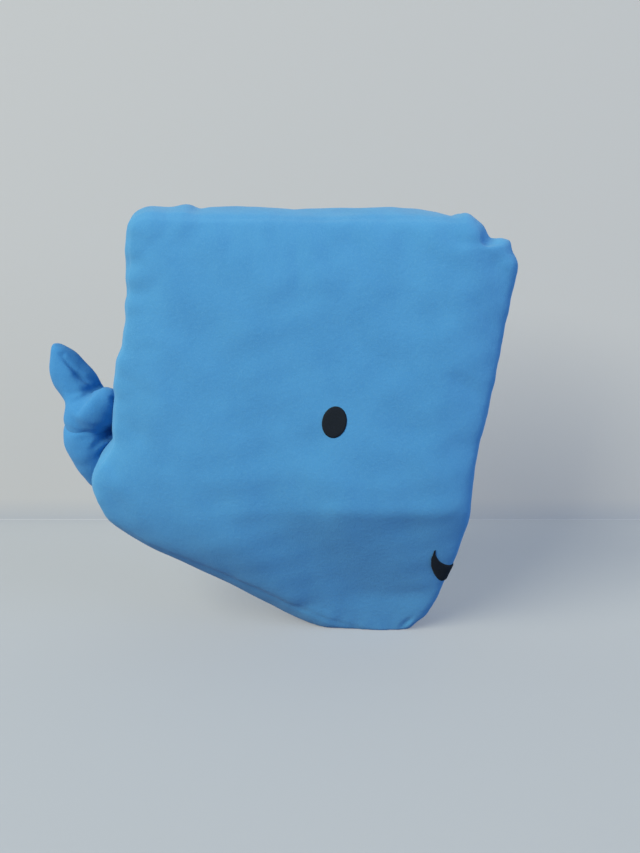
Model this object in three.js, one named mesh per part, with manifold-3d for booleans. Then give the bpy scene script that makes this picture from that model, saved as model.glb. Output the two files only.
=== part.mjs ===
// A stuffed whale cushion: cover panels, fillings, eye and mouth patches and a jointed tail.
// Millimetres, +Z up, nose along +X. It stands on the pressed front of its belly.

import * as THREE from 'three';
import { mergeVertices } from 'three/addons/utils/BufferGeometryUtils.js';
import Module from 'manifold-3d';

const wasm = await Module();
wasm.setup();
const { Manifold } = wasm;

// Cloth and sewing
const clothThickness = 1.6;
const seamGap = 0.3;
const swingClearance = 0.6;
const patchThickness = 1.2;
const patchLift = 0.5;

// Body, measured at the seams of its side panels
const bodyLength = 350;
const bodyHeight = 368;
const ridgeHeight = 129;
const ridgeHalfWidth = 80;
const ridgeSeamHalfWidth = 60;
const topSeamHalfWidth = 46;
const bellySeamHalfWidth = 31;
const sideCrown = 27;
const foldSoftness = 12;

// The rump is slimmer than the head
const rumpGirthShare = 0.78;

// How fast the side draws in above and below its fold, in millimetres for each millimetre of height
const upperDrawShare = 0.1;
const lowerDrawShare = 0.34;

// How far each strip stands proud between its two seams, and how round it is across
const bellyCrown = 26;
const foreheadCrown = 10;
const topCrown = 11;
const rumpCrown = 4;
const cornerCrown = 6;
const bellyRoundness = 1.5;
const stripRoundness = 2;

// The belly strip stands proudest towards the chin
const bellyCrownSkew = 1.6;
const evenSkew = 1;

// The belly where it is pressed flat by what the whale stands on
const pressDepth = 0.5;
const pressSoftness = 1.5;

// Eyes
const eyeWidth = 20;
const eyeHeight = 26;
const eyeLean = THREE.MathUtils.degToRad(12);
const eyeForward = 11.5;
const eyeRise = 205;

// Mouth, a band round the front edge whose ends curl up to a point
const mouthHeight = 17;
const mouthReach = 21;
const mouthRise = 66.5;
const mouthCurl = 24;
const mouthCurlPower = 1.7;
const mouthTipShare = 0.2;

// Tail stem, a rounded stub that turns about an upright axis in the opening of the rump
const stemRadius = 28;
const stemDepth = 50;
const stemBehindShare = 0.583;
const creaseRiseShare = 0.5163;
const stemBehind = stemBehindShare * bodyLength;
const creaseRise = creaseRiseShare * bodyHeight;
const creaseSlope = THREE.MathUtils.degToRad(-20);
const creaseBallRadius = 23.5;
const rimDrop = 5;

// Upper fluke, a leaf that points up and back
const upperFlukeLength = 76;
const upperFlukeWidth = 43;
const upperFlukeThickness = 24;
const upperFlukeTurn = THREE.MathUtils.degToRad(180);
const upperFlukeLift = THREE.MathUtils.degToRad(66.5);

// Lower fluke, a shorter leaf twisted round towards the right side
const lowerFlukeLength = 54;
const lowerFlukeWidth = 43;
const lowerFlukeThickness = 33;
const lowerFlukeTurn = THREE.MathUtils.degToRad(-84);
const lowerFlukeLift = THREE.MathUtils.degToRad(38);

// Fineness of the surfaces
const alongCount = 14;
const upCount = 13;
const acrossCount = 6;
const roundCount = 20;
const leafRounds = 12;
const leafSteps = 7;
const eyeCount = 6;
const mouthSideCount = 6;
const mouthFrontCount = 10;
const mouthRowCount = 4;
const outlineSteps = 12;

// The outline of a side panel, as shares of the body's length and height, in four edges.
// Each edge ends where the next begins: belly, forehead, top and rump.
const bellyEdgeShares = [
  [-0.547, 0.355], [-0.52, 0.305], [-0.445, 0.257], [-0.32, 0.206],
  [-0.16, 0.126], [-0.05, 0.06], [0.06, 0.019], [0.18, 0.001],
];
const foreheadEdgeShares = [
  [0.248, 0.008], [0.282, 0.1], [0.329, 0.21], [0.349, 0.29],
  [0.356, 0.37], [0.365, 0.47], [0.409, 0.68], [0.433, 0.83], [0.445, 0.89],
];
const topEdgeShares = [
  [0.43, 0.925], [0.38, 0.963], [0.33, 0.988], [0.2, 0.991],
  [-0.05, 0.986], [-0.36, 0.993], [-0.41, 0.997],
];
const rumpEdgeShares = [
  [-0.437, 0.98], [-0.447, 0.92], [-0.459, 0.75], [-0.473, 0.66],
  [-0.482, 0.554], [-0.499, 0.492], [-0.524, 0.456], [-0.55, 0.41],
];

// The lower rows of a side panel crowd into the low corner of its rump edge
const frontRowShare = 0.37;
const rumpRowShare = 0.1;

// How sharply a side rolls over to its seams, and how soon it is full
const rollSharpness = 3;
const fullnessPower = 0.6;

// A fluke's half width and half thickness along its length, as [along, across] shares
const leafShares = [[0, 0.62], [0.2, 0.8], [0.42, 0.98], [0.62, 0.93], [0.8, 0.68], [0.93, 0.36]];

// Which way each fluke is broad, as shares of forward, left and up
const upperFlukeBroadShares = [1, -0.3, 0];
const lowerFlukeBroadShares = [1, 0, 0];

// Colours and roughness
const clothBlue = 0x4b92c8;
const fillingWhite = 0xeeeeea;
const patchBlack = 0x18202a;
const clothRoughness = 0.95;
const fillingRoughness = 1;
const patchRoughness = 0.8;

const smoothStep = (x) => x * x * (3 - 2 * x);

const softMinimum = (a, b, softness) => {
  const h = Math.max(softness - Math.abs(a - b), 0) / softness;
  return Math.min(a, b) - (h * h * softness) / 4;
};

// The outline as one closed curve, with the reach of each edge along it
const edgeShares = [bellyEdgeShares, foreheadEdgeShares, topEdgeShares, rumpEdgeShares];
const outlinePoints = edgeShares.flat().map(([along, up]) =>
  new THREE.Vector3(along * bodyLength, 0, up * bodyHeight));
const outline = new THREE.CatmullRomCurve3(outlinePoints, true, 'centripetal');
outline.arcLengthDivisions = outlinePoints.length * outlineSteps;
const outlineLengths = outline.getLengths();

const edgeAlong = (number, crown, roundness, skew) => {
  const first = edgeShares.slice(0, number).flat().length;
  const last = first + edgeShares[number].length;
  const from = outlineLengths[first * outlineSteps] / outline.getLength();
  const to = outlineLengths[last * outlineSteps] / outline.getLength();
  return { reach: (t) => THREE.MathUtils.lerp(from, to, t), crown, roundness, skew };
};

const bellyEdge = edgeAlong(0, bellyCrown, bellyRoundness, bellyCrownSkew);
const foreheadEdge = edgeAlong(1, foreheadCrown, stripRoundness, evenSkew);
const topEdge = edgeAlong(2, topCrown, stripRoundness, evenSkew);
const rumpEdge = edgeAlong(3, rumpCrown, stripRoundness, evenSkew);

const edgePlace = (edge, t) => outline.getPointAt(edge.reach(t));

// The body's girth along its length, as a share of its girth at the head
const girthShare = (x) => {
  const forward = THREE.MathUtils.clamp(x / bodyLength + 0.5, 0, 1);
  return THREE.MathUtils.lerp(rumpGirthShare, 1, smoothStep(forward));
};

// Half the distance between the right and left seams at a place
const seamHalfWidth = (x, z) => {
  if (z < ridgeHeight) {
    const rise = smoothStep(Math.max(z, 0) / ridgeHeight);
    return girthShare(x) * THREE.MathUtils.lerp(bellySeamHalfWidth, ridgeSeamHalfWidth, rise);
  }
  const fall = Math.min((z - ridgeHeight) / (bodyHeight - ridgeHeight), 1);
  return girthShare(x) * THREE.MathUtils.lerp(ridgeSeamHalfWidth, topSeamHalfWidth, smoothStep(fall));
};

// Where a row that meets the forehead edge at v meets the rump edge
const rumpRow = (v) => {
  if (v < frontRowShare) {
    return (v / frontRowShare) * rumpRowShare;
  }
  return rumpRowShare + ((v - frontRowShare) / (1 - frontRowShare)) * (1 - rumpRowShare);
};

// A place between the four edges of a side: u from rump to forehead, v from belly to top
const sidePlace = (u, v) => {
  const low = edgePlace(bellyEdge, u);
  const high = edgePlace(topEdge, 1 - u);
  const back = edgePlace(rumpEdge, 1 - rumpRow(v));
  const front = edgePlace(foreheadEdge, v);
  const lowCorners = edgePlace(bellyEdge, 0).lerp(edgePlace(bellyEdge, 1), u);
  const highCorners = edgePlace(topEdge, 1).lerp(edgePlace(topEdge, 0), u);
  return low.lerp(high, v).add(back.lerp(front, u)).sub(lowCorners.lerp(highCorners, v));
};

// The weight of the whale presses the lowest cloth nearly flat
const pressed = (z) => {
  if (z >= pressSoftness) {
    return z;
  }
  const depth = pressSoftness + pressDepth;
  return depth * Math.exp((z - pressSoftness) / depth) - pressDepth;
};

// How full a side is, from nothing on its seams to all in the middle
const edgeRoll = (x) => 1 - Math.abs(2 * x - 1) ** rollSharpness;
const sideFullness = (u, v) => (edgeRoll(u) * edgeRoll(v)) ** fullnessPower;

// A point of the right side, which swells between its seams and folds softly along the ridge
const sidePoint = (u, v) => {
  const point = sidePlace(u, v);
  const seam = seamHalfWidth(point.x, point.z);
  const girth = girthShare(point.x);
  const swollen = seam + girth * sideCrown * sideFullness(u, v);
  const above = ridgeHalfWidth - (point.z - ridgeHeight) * upperDrawShare;
  const below = ridgeHalfWidth - (ridgeHeight - point.z) * lowerDrawShare;
  const folded = girth * softMinimum(above, below, foldSoftness);
  point.y = -Math.max(softMinimum(swollen, folded, foldSoftness), seam);
  return point.setZ(pressed(point.z));
};

// A point of a strip: t along its edge, w across it from the right seam (-1) to the left (1)
const stripPoint = (edge, t, w) => {
  const point = edgePlace(edge, t);
  const tangent = outline.getTangentAt(edge.reach(t));
  const outward = new THREE.Vector3(tangent.z, 0, -tangent.x);
  const seam = seamHalfWidth(point.x, point.z);
  const along = t ** edge.skew;
  const crown = THREE.MathUtils.lerp(cornerCrown, edge.crown, Math.sqrt(4 * along * (1 - along)));
  point.addScaledVector(outward, crown * (1 - Math.abs(w) ** edge.roundness));
  point.y = seam * w;
  return point.setZ(pressed(point.z));
};

// Rows lie closer together near the seams
const spaced = (index, count) => {
  const even = index / count;
  return (even + smoothStep(even)) / 2;
};

const grid = (rows, columns, place) => {
  const result = [];
  for (let i = 0; i <= rows; i++) {
    const row = [];
    for (let j = 0; j <= columns; j++) {
      row.push(place(i, j));
    }
    result.push(row);
  }
  return result;
};

// Faces of the body, each a grid whose first corner, next column and next row turn outwards
const acrossAt = (j) => (2 * j) / acrossCount - 1;
const bellyStrip = grid(alongCount, acrossCount, (i, j) =>
  stripPoint(bellyEdge, spaced(i, alongCount), acrossAt(j)));
const foreheadStrip = grid(upCount, acrossCount, (i, j) =>
  stripPoint(foreheadEdge, spaced(i, upCount), acrossAt(j)));
const topStrip = grid(alongCount, acrossCount, (i, j) =>
  stripPoint(topEdge, 1 - spaced(alongCount - i, alongCount), acrossAt(j)));
const rumpStrip = grid(upCount, acrossCount, (i, j) =>
  stripPoint(rumpEdge, 1 - rumpRow(spaced(upCount - i, upCount)), acrossAt(j)));

// Strips share the row of points where they meet, and a side shares its border with the strips
foreheadStrip[0] = bellyStrip[alongCount];
topStrip[0] = foreheadStrip[upCount];
rumpStrip[0] = topStrip[alongCount];
rumpStrip[upCount] = bellyStrip[0];
const rightSide = grid(upCount, alongCount, (i, j) => {
  if (i === 0) {
    return bellyStrip[j][0];
  }
  if (i === upCount) {
    return topStrip[alongCount - j][0];
  }
  if (j === 0) {
    return rumpStrip[upCount - i][0];
  }
  return j === alongCount ? foreheadStrip[i][0] : sidePoint(spaced(j, alongCount), spaced(i, upCount));
});
const leftSide = rightSide.map((row) =>
  row.map((point) => new THREE.Vector3(point.x, -point.y, point.z)).reverse());
const bodyFaces = [rightSide, leftSide, bellyStrip, foreheadStrip, topStrip, rumpStrip];

const gridTriangles = (points) => {
  const triangles = [];
  for (let i = 0; i + 1 < points.length; i++) {
    for (let j = 0; j + 1 < points[i].length; j++) {
      const a = points[i][j];
      const b = points[i][j + 1];
      const c = points[i + 1][j + 1];
      const d = points[i + 1][j];
      triangles.push([a, b, c], [a, c, d]);
    }
  }
  return triangles;
};

const trianglesToGeometry = (triangles) => {
  const geometry = new THREE.BufferGeometry().setFromPoints(triangles.flat());
  return mergeVertices(geometry);
};

// The way inwards at each point of the body, long enough to keep the cloth's thickness at a seam
const pointKey = (point) => point.toArray().map((value) => value.toFixed(3)).join();
const facesAt = new Map();
for (const triangle of bodyFaces.flatMap(gridTriangles)) {
  const normal = new THREE.Triangle(...triangle).getNormal(new THREE.Vector3());
  for (const corner of triangle) {
    const key = pointKey(corner);
    facesAt.set(key, [...(facesAt.get(key) ?? []), normal]);
  }
}

const leastMitre = 0.6;
const inwardAt = (point) => {
  const normals = facesAt.get(pointKey(point));
  const sum = new THREE.Vector3();
  normals.forEach((normal) => sum.add(normal));
  sum.normalize();
  const least = Math.min(...normals.map((normal) => normal.dot(sum)));
  return sum.multiplyScalar(-1 / Math.max(least, leastMitre));
};

const sunk = (points, depth) => points.map((row) =>
  row.map((point) => point.clone().addScaledVector(inwardAt(point), depth)));

// Draws a grid's border in by half a seam gap
const towards = (from, to, distance) => from.clone().lerp(to, distance / from.distanceTo(to));
const drawnIn = (points) => {
  const half = seamGap / 2;
  const rows = points.map((row) => row.map((point, j) => {
    if (j === 0) {
      return towards(point, row[1], half);
    }
    return j === row.length - 1 ? towards(point, row[j - 1], half) : point;
  }));
  const last = rows.length - 1;
  return rows.map((row, i) => row.map((point, j) => {
    if (i === 0) {
      return towards(point, rows[1][j], half);
    }
    return i === last ? towards(point, rows[last - 1][j], half) : point;
  }));
};

const borderOf = (points) => {
  const last = points.length - 1;
  const end = points[0].length - 1;
  const rightColumn = points.map((row) => row[end]);
  const leftColumn = points.map((row) => row[0]);
  return [
    ...points[0].slice(0, end), ...rightColumn.slice(0, last),
    ...points[last].slice(1).reverse(), ...leftColumn.slice(1).reverse(),
  ];
};

// A closed sheet between an outer and an inner grid
const sheet = (outer, inner) => {
  const triangles = gridTriangles(outer);
  gridTriangles(inner).forEach(([a, b, c]) => triangles.push([a, c, b]));
  const outerBorder = borderOf(outer);
  const innerBorder = borderOf(inner);
  outerBorder.forEach((a, index) => {
    const next = (index + 1) % outerBorder.length;
    triangles.push([outerBorder[next], a, innerBorder[index]]);
    triangles.push([outerBorder[next], innerBorder[index], innerBorder[next]]);
  });
  return trianglesToGeometry(triangles);
};

// Cutting and joining
const toSolid = (geometry) => {
  const bare = geometry.clone();
  bare.deleteAttribute('normal');
  bare.deleteAttribute('uv');
  const merged = mergeVertices(bare);
  return new Manifold(new wasm.Mesh({
    numProp: 3,
    vertProperties: merged.attributes.position.array,
    triVerts: new Uint32Array(merged.index.array),
  }));
};

const toGeometry = (solid) => {
  const mesh = solid.getMesh();
  const geometry = new THREE.BufferGeometry();
  geometry.setAttribute('position', new THREE.BufferAttribute(mesh.vertProperties, 3));
  geometry.setIndex(new THREE.BufferAttribute(mesh.triVerts, 1));
  return geometry;
};

// A block that fills the side of a plane to which its normal points
const farReach = bodyLength + bodyHeight;
const halfSpace = (origin, normal) => {
  const block = new THREE.BoxGeometry(farReach, farReach, farReach);
  block.translate(0, 0, farReach / 2);
  block.applyQuaternion(new THREE.Quaternion().setFromUnitVectors(new THREE.Vector3(0, 0, 1), normal));
  block.translate(origin.x, origin.y, origin.z);
  return toSolid(block);
};

const ball = (centre, radius) => {
  const sphere = new THREE.SphereGeometry(radius, roundCount, roundCount / 2);
  sphere.translate(centre.x, centre.y, centre.z);
  return toSolid(sphere);
};

// Tail stem: a round turned about the upright axis, cut along the crease and cupped for the flukes
const creaseCentre = new THREE.Vector3(-stemBehind, 0, creaseRise);
const creaseAlong = new THREE.Vector3(Math.cos(creaseSlope), 0, Math.sin(creaseSlope));
const creaseUp = new THREE.Vector3(-Math.sin(creaseSlope), 0, Math.cos(creaseSlope));

const stemRound = (growth) => {
  const round = new THREE.SphereGeometry(1, roundCount, roundCount / 2);
  round.rotateX(Math.PI / 2);
  round.scale(stemRadius + growth, stemRadius + growth, stemDepth + growth);
  round.translate(creaseCentre.x, creaseCentre.y, creaseCentre.z);
  return toSolid(round);
};

const stemPouch = (inset) => {
  const rim = creaseCentre.clone().addScaledVector(creaseUp, -rimDrop - inset);
  const belowRim = halfSpace(rim, creaseUp.clone().negate());
  const cup = ball(creaseCentre, creaseBallRadius + swingClearance + inset);
  return stemRound(-inset).intersect(belowRim).subtract(cup);
};

// A fluke: a leaf on a rounded root, cut from its neighbour along a plane through the crease
const leafProfile = new THREE.CatmullRomCurve3(
  leafShares.map(([along, across]) => new THREE.Vector3(along, across, 0)));

const leaf = (fluke, inset) => {
  const length = fluke.length - inset;
  const halfWidth = fluke.width / 2 - inset;
  const halfThickness = fluke.thickness / 2 - inset;
  const rings = [];
  for (let i = 0; i < leafSteps; i++) {
    const share = leafProfile.getPoint(i / (leafSteps - 1));
    const centre = creaseCentre.clone().addScaledVector(fluke.direction, share.x * length);
    const ring = [];
    for (let k = 0; k <= leafRounds; k++) {
      const turn = (2 * Math.PI * (k % leafRounds)) / leafRounds;
      const point = centre.clone();
      point.addScaledVector(fluke.wide, Math.cos(turn) * halfWidth * share.y);
      point.addScaledVector(fluke.thick, Math.sin(turn) * halfThickness * share.y);
      ring.push(point);
    }
    rings.push(ring);
  }
  const tip = creaseCentre.clone().addScaledVector(fluke.direction, length);
  rings.unshift(rings[0].map(() => creaseCentre.clone()));
  rings.push(rings[0].map(() => tip));
  const triangles = gridTriangles(rings).filter(([a, b, c]) => !a.equals(b) && !b.equals(c) && !c.equals(a));
  return toSolid(trianglesToGeometry(triangles));
};

const flukePouch = (fluke, inset) => {
  const parting = creaseCentre.clone().addScaledVector(fluke.partingNormal, seamGap / 2 + inset);
  const root = ball(creaseCentre, creaseBallRadius - inset);
  return root.add(leaf(fluke, inset)).intersect(halfSpace(parting, fluke.partingNormal));
};

const turned = (turn, lift) => new THREE.Vector3(
  Math.cos(lift) * Math.cos(turn), Math.cos(lift) * Math.sin(turn), Math.sin(lift));

const makeFluke = (length, width, thickness, direction, broadShares) => {
  const broad = new THREE.Vector3(...broadShares);
  const wide = broad.addScaledVector(direction, -broad.dot(direction)).normalize();
  const thick = direction.clone().cross(wide);
  return { length, width, thickness, direction, wide, thick };
};

const upperDirection = turned(upperFlukeTurn, upperFlukeLift);
const lowerDirection = turned(lowerFlukeTurn, lowerFlukeLift);
const upperFluke = makeFluke(
  upperFlukeLength, upperFlukeWidth, upperFlukeThickness, upperDirection, upperFlukeBroadShares);
const lowerFluke = makeFluke(
  lowerFlukeLength, lowerFlukeWidth, lowerFlukeThickness, lowerDirection, lowerFlukeBroadShares);
upperFluke.partingNormal = upperDirection.clone().sub(lowerDirection).normalize();
lowerFluke.partingNormal = upperFluke.partingNormal.clone().negate();

// Splits a pouch's cloth in two along a plane, with a seam gap between the halves
const clothHalves = (pouch, origin, normal) => {
  const cloth = pouch(0).subtract(pouch(clothThickness));
  return [1, -1].map((side) => {
    const facing = normal.clone().multiplyScalar(side);
    return cloth.intersect(halfSpace(origin.clone().addScaledVector(facing, seamGap / 2), facing));
  });
};

// The point of the right side that shows at a place seen from the side, searched for from a start
const searchRounds = 30;
const searchStep = 1e-4;
const sideMiddleShare = 0.5;
const sideFrontShare = 0.95;
const findOnSide = (x, z, startU, startV) => {
  let u = startU;
  let v = startV;
  for (let round = 0; round < searchRounds; round++) {
    const here = sidePlace(u, v);
    const du = sidePlace(u + searchStep, v).sub(here).divideScalar(searchStep);
    const dv = sidePlace(u, v + searchStep).sub(here).divideScalar(searchStep);
    const determinant = du.x * dv.z - du.z * dv.x;
    const missX = x - here.x;
    const missZ = z - here.z;
    u = THREE.MathUtils.clamp(u + (missX * dv.z - missZ * dv.x) / determinant, 0, 1 - searchStep);
    v = THREE.MathUtils.clamp(v + (missZ * du.x - missX * du.z) / determinant, 0, 1 - searchStep);
  }
  return sidePoint(u, v);
};

// A square grid drawn onto a round one
const roundGrid = (count, place) => grid(count, count, (i, j) => {
  const a = (2 * j) / count - 1;
  const b = (2 * i) / count - 1;
  return place(a * Math.sqrt(1 - (b * b) / 2), b * Math.sqrt(1 - (a * a) / 2));
});

// Lifts a grid off the cloth along its own normals
const lifted = (points, distance) => points.map((row, i) => row.map((point, j) => {
  const before = row[Math.max(j - 1, 0)];
  const after = row[Math.min(j + 1, row.length - 1)];
  const below = points[Math.max(i - 1, 0)][j];
  const above = points[Math.min(i + 1, points.length - 1)][j];
  const normal = after.clone().sub(before).cross(above.clone().sub(below)).normalize();
  return point.clone().addScaledVector(normal, distance);
}));

const patch = (points) => sheet(lifted(points, patchLift + patchThickness), lifted(points, patchLift));

const rightEyeGrid = roundGrid(eyeCount, (a, b) => {
  const sideways = (a * eyeWidth) / 2;
  const up = (b * eyeHeight) / 2;
  const x = eyeForward + sideways * Math.cos(eyeLean) + up * Math.sin(eyeLean);
  const z = eyeRise - sideways * Math.sin(eyeLean) + up * Math.cos(eyeLean);
  return findOnSide(x, z, sideMiddleShare, sideMiddleShare);
});
const leftEyeGrid = rightEyeGrid.map((row) =>
  row.map((point) => new THREE.Vector3(point.x, -point.y, point.z)).reverse());

// The share of the forehead edge at which it has risen to a height
const foreheadShareAt = (z) => {
  let low = 0;
  let high = 1;
  for (let round = 0; round < searchRounds; round++) {
    const middle = (low + high) / 2;
    if (edgePlace(foreheadEdge, middle).z < z) {
      low = middle;
    } else {
      high = middle;
    }
  }
  return (low + high) / 2;
};

// The mouth runs from the right side over the forehead strip to the left side. A column of it lies at a share
// across the strip, from seam to seam, and past a seam at a share of its reach along that side.
const mouthPoint = (stripShare, endShare, r) => {
  const heightShare = Math.sqrt(Math.max(1 - endShare ** 2, mouthTipShare ** 2));
  const rise = mouthRise + mouthCurl * endShare ** mouthCurlPower;
  const z = rise + (r * heightShare * mouthHeight) / 2;
  const t = foreheadShareAt(z);
  if (endShare === 0) {
    return stripPoint(foreheadEdge, t, stripShare);
  }
  const point = findOnSide(edgePlace(foreheadEdge, t).x - endShare * mouthReach, z, sideFrontShare, t);
  point.y *= -stripShare;
  return point;
};

const mouthColumns = [];
for (let j = 0; j < mouthSideCount; j++) {
  mouthColumns.push([-1, 1 - j / mouthSideCount]);
}
for (let j = 0; j <= mouthFrontCount; j++) {
  mouthColumns.push([(2 * j) / mouthFrontCount - 1, 0]);
}
for (let j = 1; j <= mouthSideCount; j++) {
  mouthColumns.push([1, j / mouthSideCount]);
}
const mouthGrid = grid(mouthRowCount, mouthColumns.length - 1, (i, j) =>
  mouthPoint(...mouthColumns[j], (2 * i) / mouthRowCount - 1));

const whale = new THREE.Group();
const addPiece = (name, geometry, color, roughness) => {
  const material = new THREE.MeshStandardMaterial({ color, roughness, metalness: 0 });
  const mesh = new THREE.Mesh(geometry, material);
  mesh.name = name;
  whale.add(mesh);
};
const addCloth = (name, solid) => addPiece(name, toGeometry(solid), clothBlue, clothRoughness);
const addFilling = (name, solid) => addPiece(name, toGeometry(solid), fillingWhite, fillingRoughness);
const addPatch = (name, geometry) => addPiece(name, geometry, patchBlack, patchRoughness);

// Body
const panel = (face) => toSolid(sheet(drawnIn(face), drawnIn(sunk(face, clothThickness))));
const opening = stemRound(swingClearance);
const upright = new THREE.Vector3(0, 0, 1);
const aboveGround = halfSpace(new THREE.Vector3(), upright);
const fillingFaces = bodyFaces.map((face) => sunk(face, clothThickness + seamGap));
const bodyFilling = toSolid(trianglesToGeometry(fillingFaces.flatMap(gridTriangles)));
addCloth('right_side_panel', panel(rightSide));
addCloth('left_side_panel', panel(leftSide));
addCloth('forehead_panel', panel(foreheadStrip));
addCloth('top_panel', panel(topStrip));
addCloth('rump_panel', panel(rumpStrip).subtract(opening));
addCloth('belly_panel', panel(bellyStrip).intersect(aboveGround));
addFilling('body_filling', bodyFilling.subtract(opening));

// Face
addPatch('right_eye', patch(rightEyeGrid));
addPatch('left_eye', patch(leftEyeGrid));
addPatch('mouth', patch(mouthGrid));

// Tail
const [stemLeft, stemRight] = clothHalves(stemPouch, creaseCentre, new THREE.Vector3(0, 1, 0));
addCloth('tail_stem_right_panel', stemRight);
addCloth('tail_stem_left_panel', stemLeft);
addFilling('tail_stem_filling', stemPouch(clothThickness + seamGap));
for (const [name, fluke] of [['upper_fluke', upperFluke], ['lower_fluke', lowerFluke]]) {
  const pouch = (inset) => flukePouch(fluke, inset);
  const [front, back] = clothHalves(pouch, creaseCentre, fluke.thick);
  addCloth(`${name}_front_panel`, front);
  addCloth(`${name}_back_panel`, back);
  addFilling(`${name}_filling`, pouch(clothThickness + seamGap));
}

// The origin lies on the ground under the middle of the whale
const box = new THREE.Box3().setFromObject(whale);
whale.position.set(-box.getCenter(new THREE.Vector3()).x, 0, 0);

export default whale;
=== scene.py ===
"""A stuffed whale cushion in short-pile stretch cloth.

It has a gusseted body, sewn eyes and mouth and a twisted tail. Everything is in the frame of the
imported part. Shapes are worked out in millimetres and stored in metres.
"""

import math

import bmesh
import bpy
import numpy as np
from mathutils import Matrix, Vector
from mathutils.bvhtree import BVHTree
from mathutils.kdtree import KDTree


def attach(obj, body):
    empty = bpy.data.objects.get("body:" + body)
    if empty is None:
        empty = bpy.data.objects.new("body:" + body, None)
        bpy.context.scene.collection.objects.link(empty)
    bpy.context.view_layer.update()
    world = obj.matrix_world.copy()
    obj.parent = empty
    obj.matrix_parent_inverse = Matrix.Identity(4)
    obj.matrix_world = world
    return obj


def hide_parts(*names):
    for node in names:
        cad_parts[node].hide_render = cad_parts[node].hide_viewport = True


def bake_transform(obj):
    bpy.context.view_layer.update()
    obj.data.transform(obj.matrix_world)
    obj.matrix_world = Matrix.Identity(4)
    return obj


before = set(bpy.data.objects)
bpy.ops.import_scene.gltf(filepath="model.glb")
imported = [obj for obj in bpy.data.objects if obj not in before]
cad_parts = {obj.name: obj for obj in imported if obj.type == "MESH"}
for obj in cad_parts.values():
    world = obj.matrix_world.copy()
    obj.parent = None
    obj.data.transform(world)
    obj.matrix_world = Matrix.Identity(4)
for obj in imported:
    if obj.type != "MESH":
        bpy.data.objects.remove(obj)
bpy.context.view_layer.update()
scene = bpy.context.scene
MM = 0.001

# Camera
CAMERA_TARGET = Vector((0.038746, 0, 0.187))
CAMERA_DISTANCE = 0.64
CAMERA_RISE = math.radians(12)
camera_data = bpy.data.cameras.new("camera")
camera_data.lens = 30
camera_data.sensor_width = 36
camera = bpy.data.objects.new("camera", camera_data)
scene.collection.objects.link(camera)
towards_camera = Vector((0, -math.cos(CAMERA_RISE), math.sin(CAMERA_RISE)))
camera.location = CAMERA_TARGET + CAMERA_DISTANCE * towards_camera
camera.rotation_euler = (math.pi / 2 - CAMERA_RISE, 0, 0)
scene.camera = camera


# Meshes
def new_object(name, points, faces):
    mesh = bpy.data.meshes.new(name)
    mesh.from_pydata((np.asarray(points) * MM).tolist(), [], faces)
    obj = bpy.data.objects.new(name, mesh)
    scene.collection.objects.link(obj)
    return obj


def vertex_values(obj, key):
    flat = np.empty(len(obj.data.vertices) * 3, np.float32)
    obj.data.vertices.foreach_get(key, flat)
    return flat.reshape(-1, 3).astype(float)


def points_of(obj):
    return vertex_values(obj, "co") / MM


def normals_of(obj):
    return vertex_values(obj, "normal")


def set_points(obj, points):
    obj.data.vertices.foreach_set("co", (np.asarray(points) * MM).astype(np.float32).ravel())
    obj.data.update()


def apply_modifiers(obj):
    evaluated = obj.evaluated_get(bpy.context.evaluated_depsgraph_get())
    mesh = bpy.data.meshes.new_from_object(evaluated)
    obj.modifiers.clear()
    obj.data = mesh


def weld(obj, distance=0.001):
    bm = bmesh.new()
    bm.from_mesh(obj.data)
    bmesh.ops.remove_doubles(bm, verts=bm.verts, dist=distance * MM)
    bmesh.ops.recalc_face_normals(bm, faces=bm.faces)
    bm.to_mesh(obj.data)
    bm.free()


def remesh(obj, size):
    modifier = obj.modifiers.new("remesh", "REMESH")
    modifier.mode = "VOXEL"
    modifier.voxel_size = size * MM
    apply_modifiers(obj)


def subdivide(obj):
    modifier = obj.modifiers.new("subdivide", "SUBSURF")
    modifier.levels = modifier.render_levels = 1
    apply_modifiers(obj)


def shade_smooth(obj):
    obj.data.polygons.foreach_set("use_smooth", np.ones(len(obj.data.polygons), bool))
    obj.data.update()


def relax(obj, rounds, strength=0.5, where=None):
    """Moves each point towards the middle of its neighbours, less where its share is lower."""
    edges = np.empty(len(obj.data.edges) * 2, np.int32)
    obj.data.edges.foreach_get("vertices", edges)
    edges = edges.reshape(-1, 2)
    points = points_of(obj)
    if where:
        strength = strength * where(points)[:, None]
    count = np.zeros(len(points))
    np.add.at(count, edges[:, 0], 1)
    np.add.at(count, edges[:, 1], 1)
    for _ in range(rounds):
        total = np.zeros_like(points)
        np.add.at(total, edges[:, 0], points[edges[:, 1]])
        np.add.at(total, edges[:, 1], points[edges[:, 0]])
        points += strength * (total / count[:, None] - points)
    set_points(obj, points)


def tree_of(obj):
    """A search tree over the mesh, in millimetres."""
    points = [Vector(p) for p in points_of(obj)]
    return BVHTree.FromPolygons(points, [tuple(face.vertices) for face in obj.data.polygons])


def snap(obj, tree):
    set_points(obj, [tree.find_nearest(Vector(p))[0] for p in points_of(obj)])


def ease(value, start, end):
    """Rises smoothly from 0 at the start to 1 at the end. The end may be the lower of the two."""
    share = np.clip((value - start) / (end - start), 0, 1)
    return share * share * (3 - 2 * share)


def bell(distance, width):
    """1 at no distance, and less and less over about twice the width."""
    return np.exp(-((distance / width) ** 2))


def soft_minimum(a, b, softness):
    h = np.maximum(softness - np.abs(a - b), 0) / softness
    return np.minimum(a, b) - h * h * softness / 4


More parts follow.
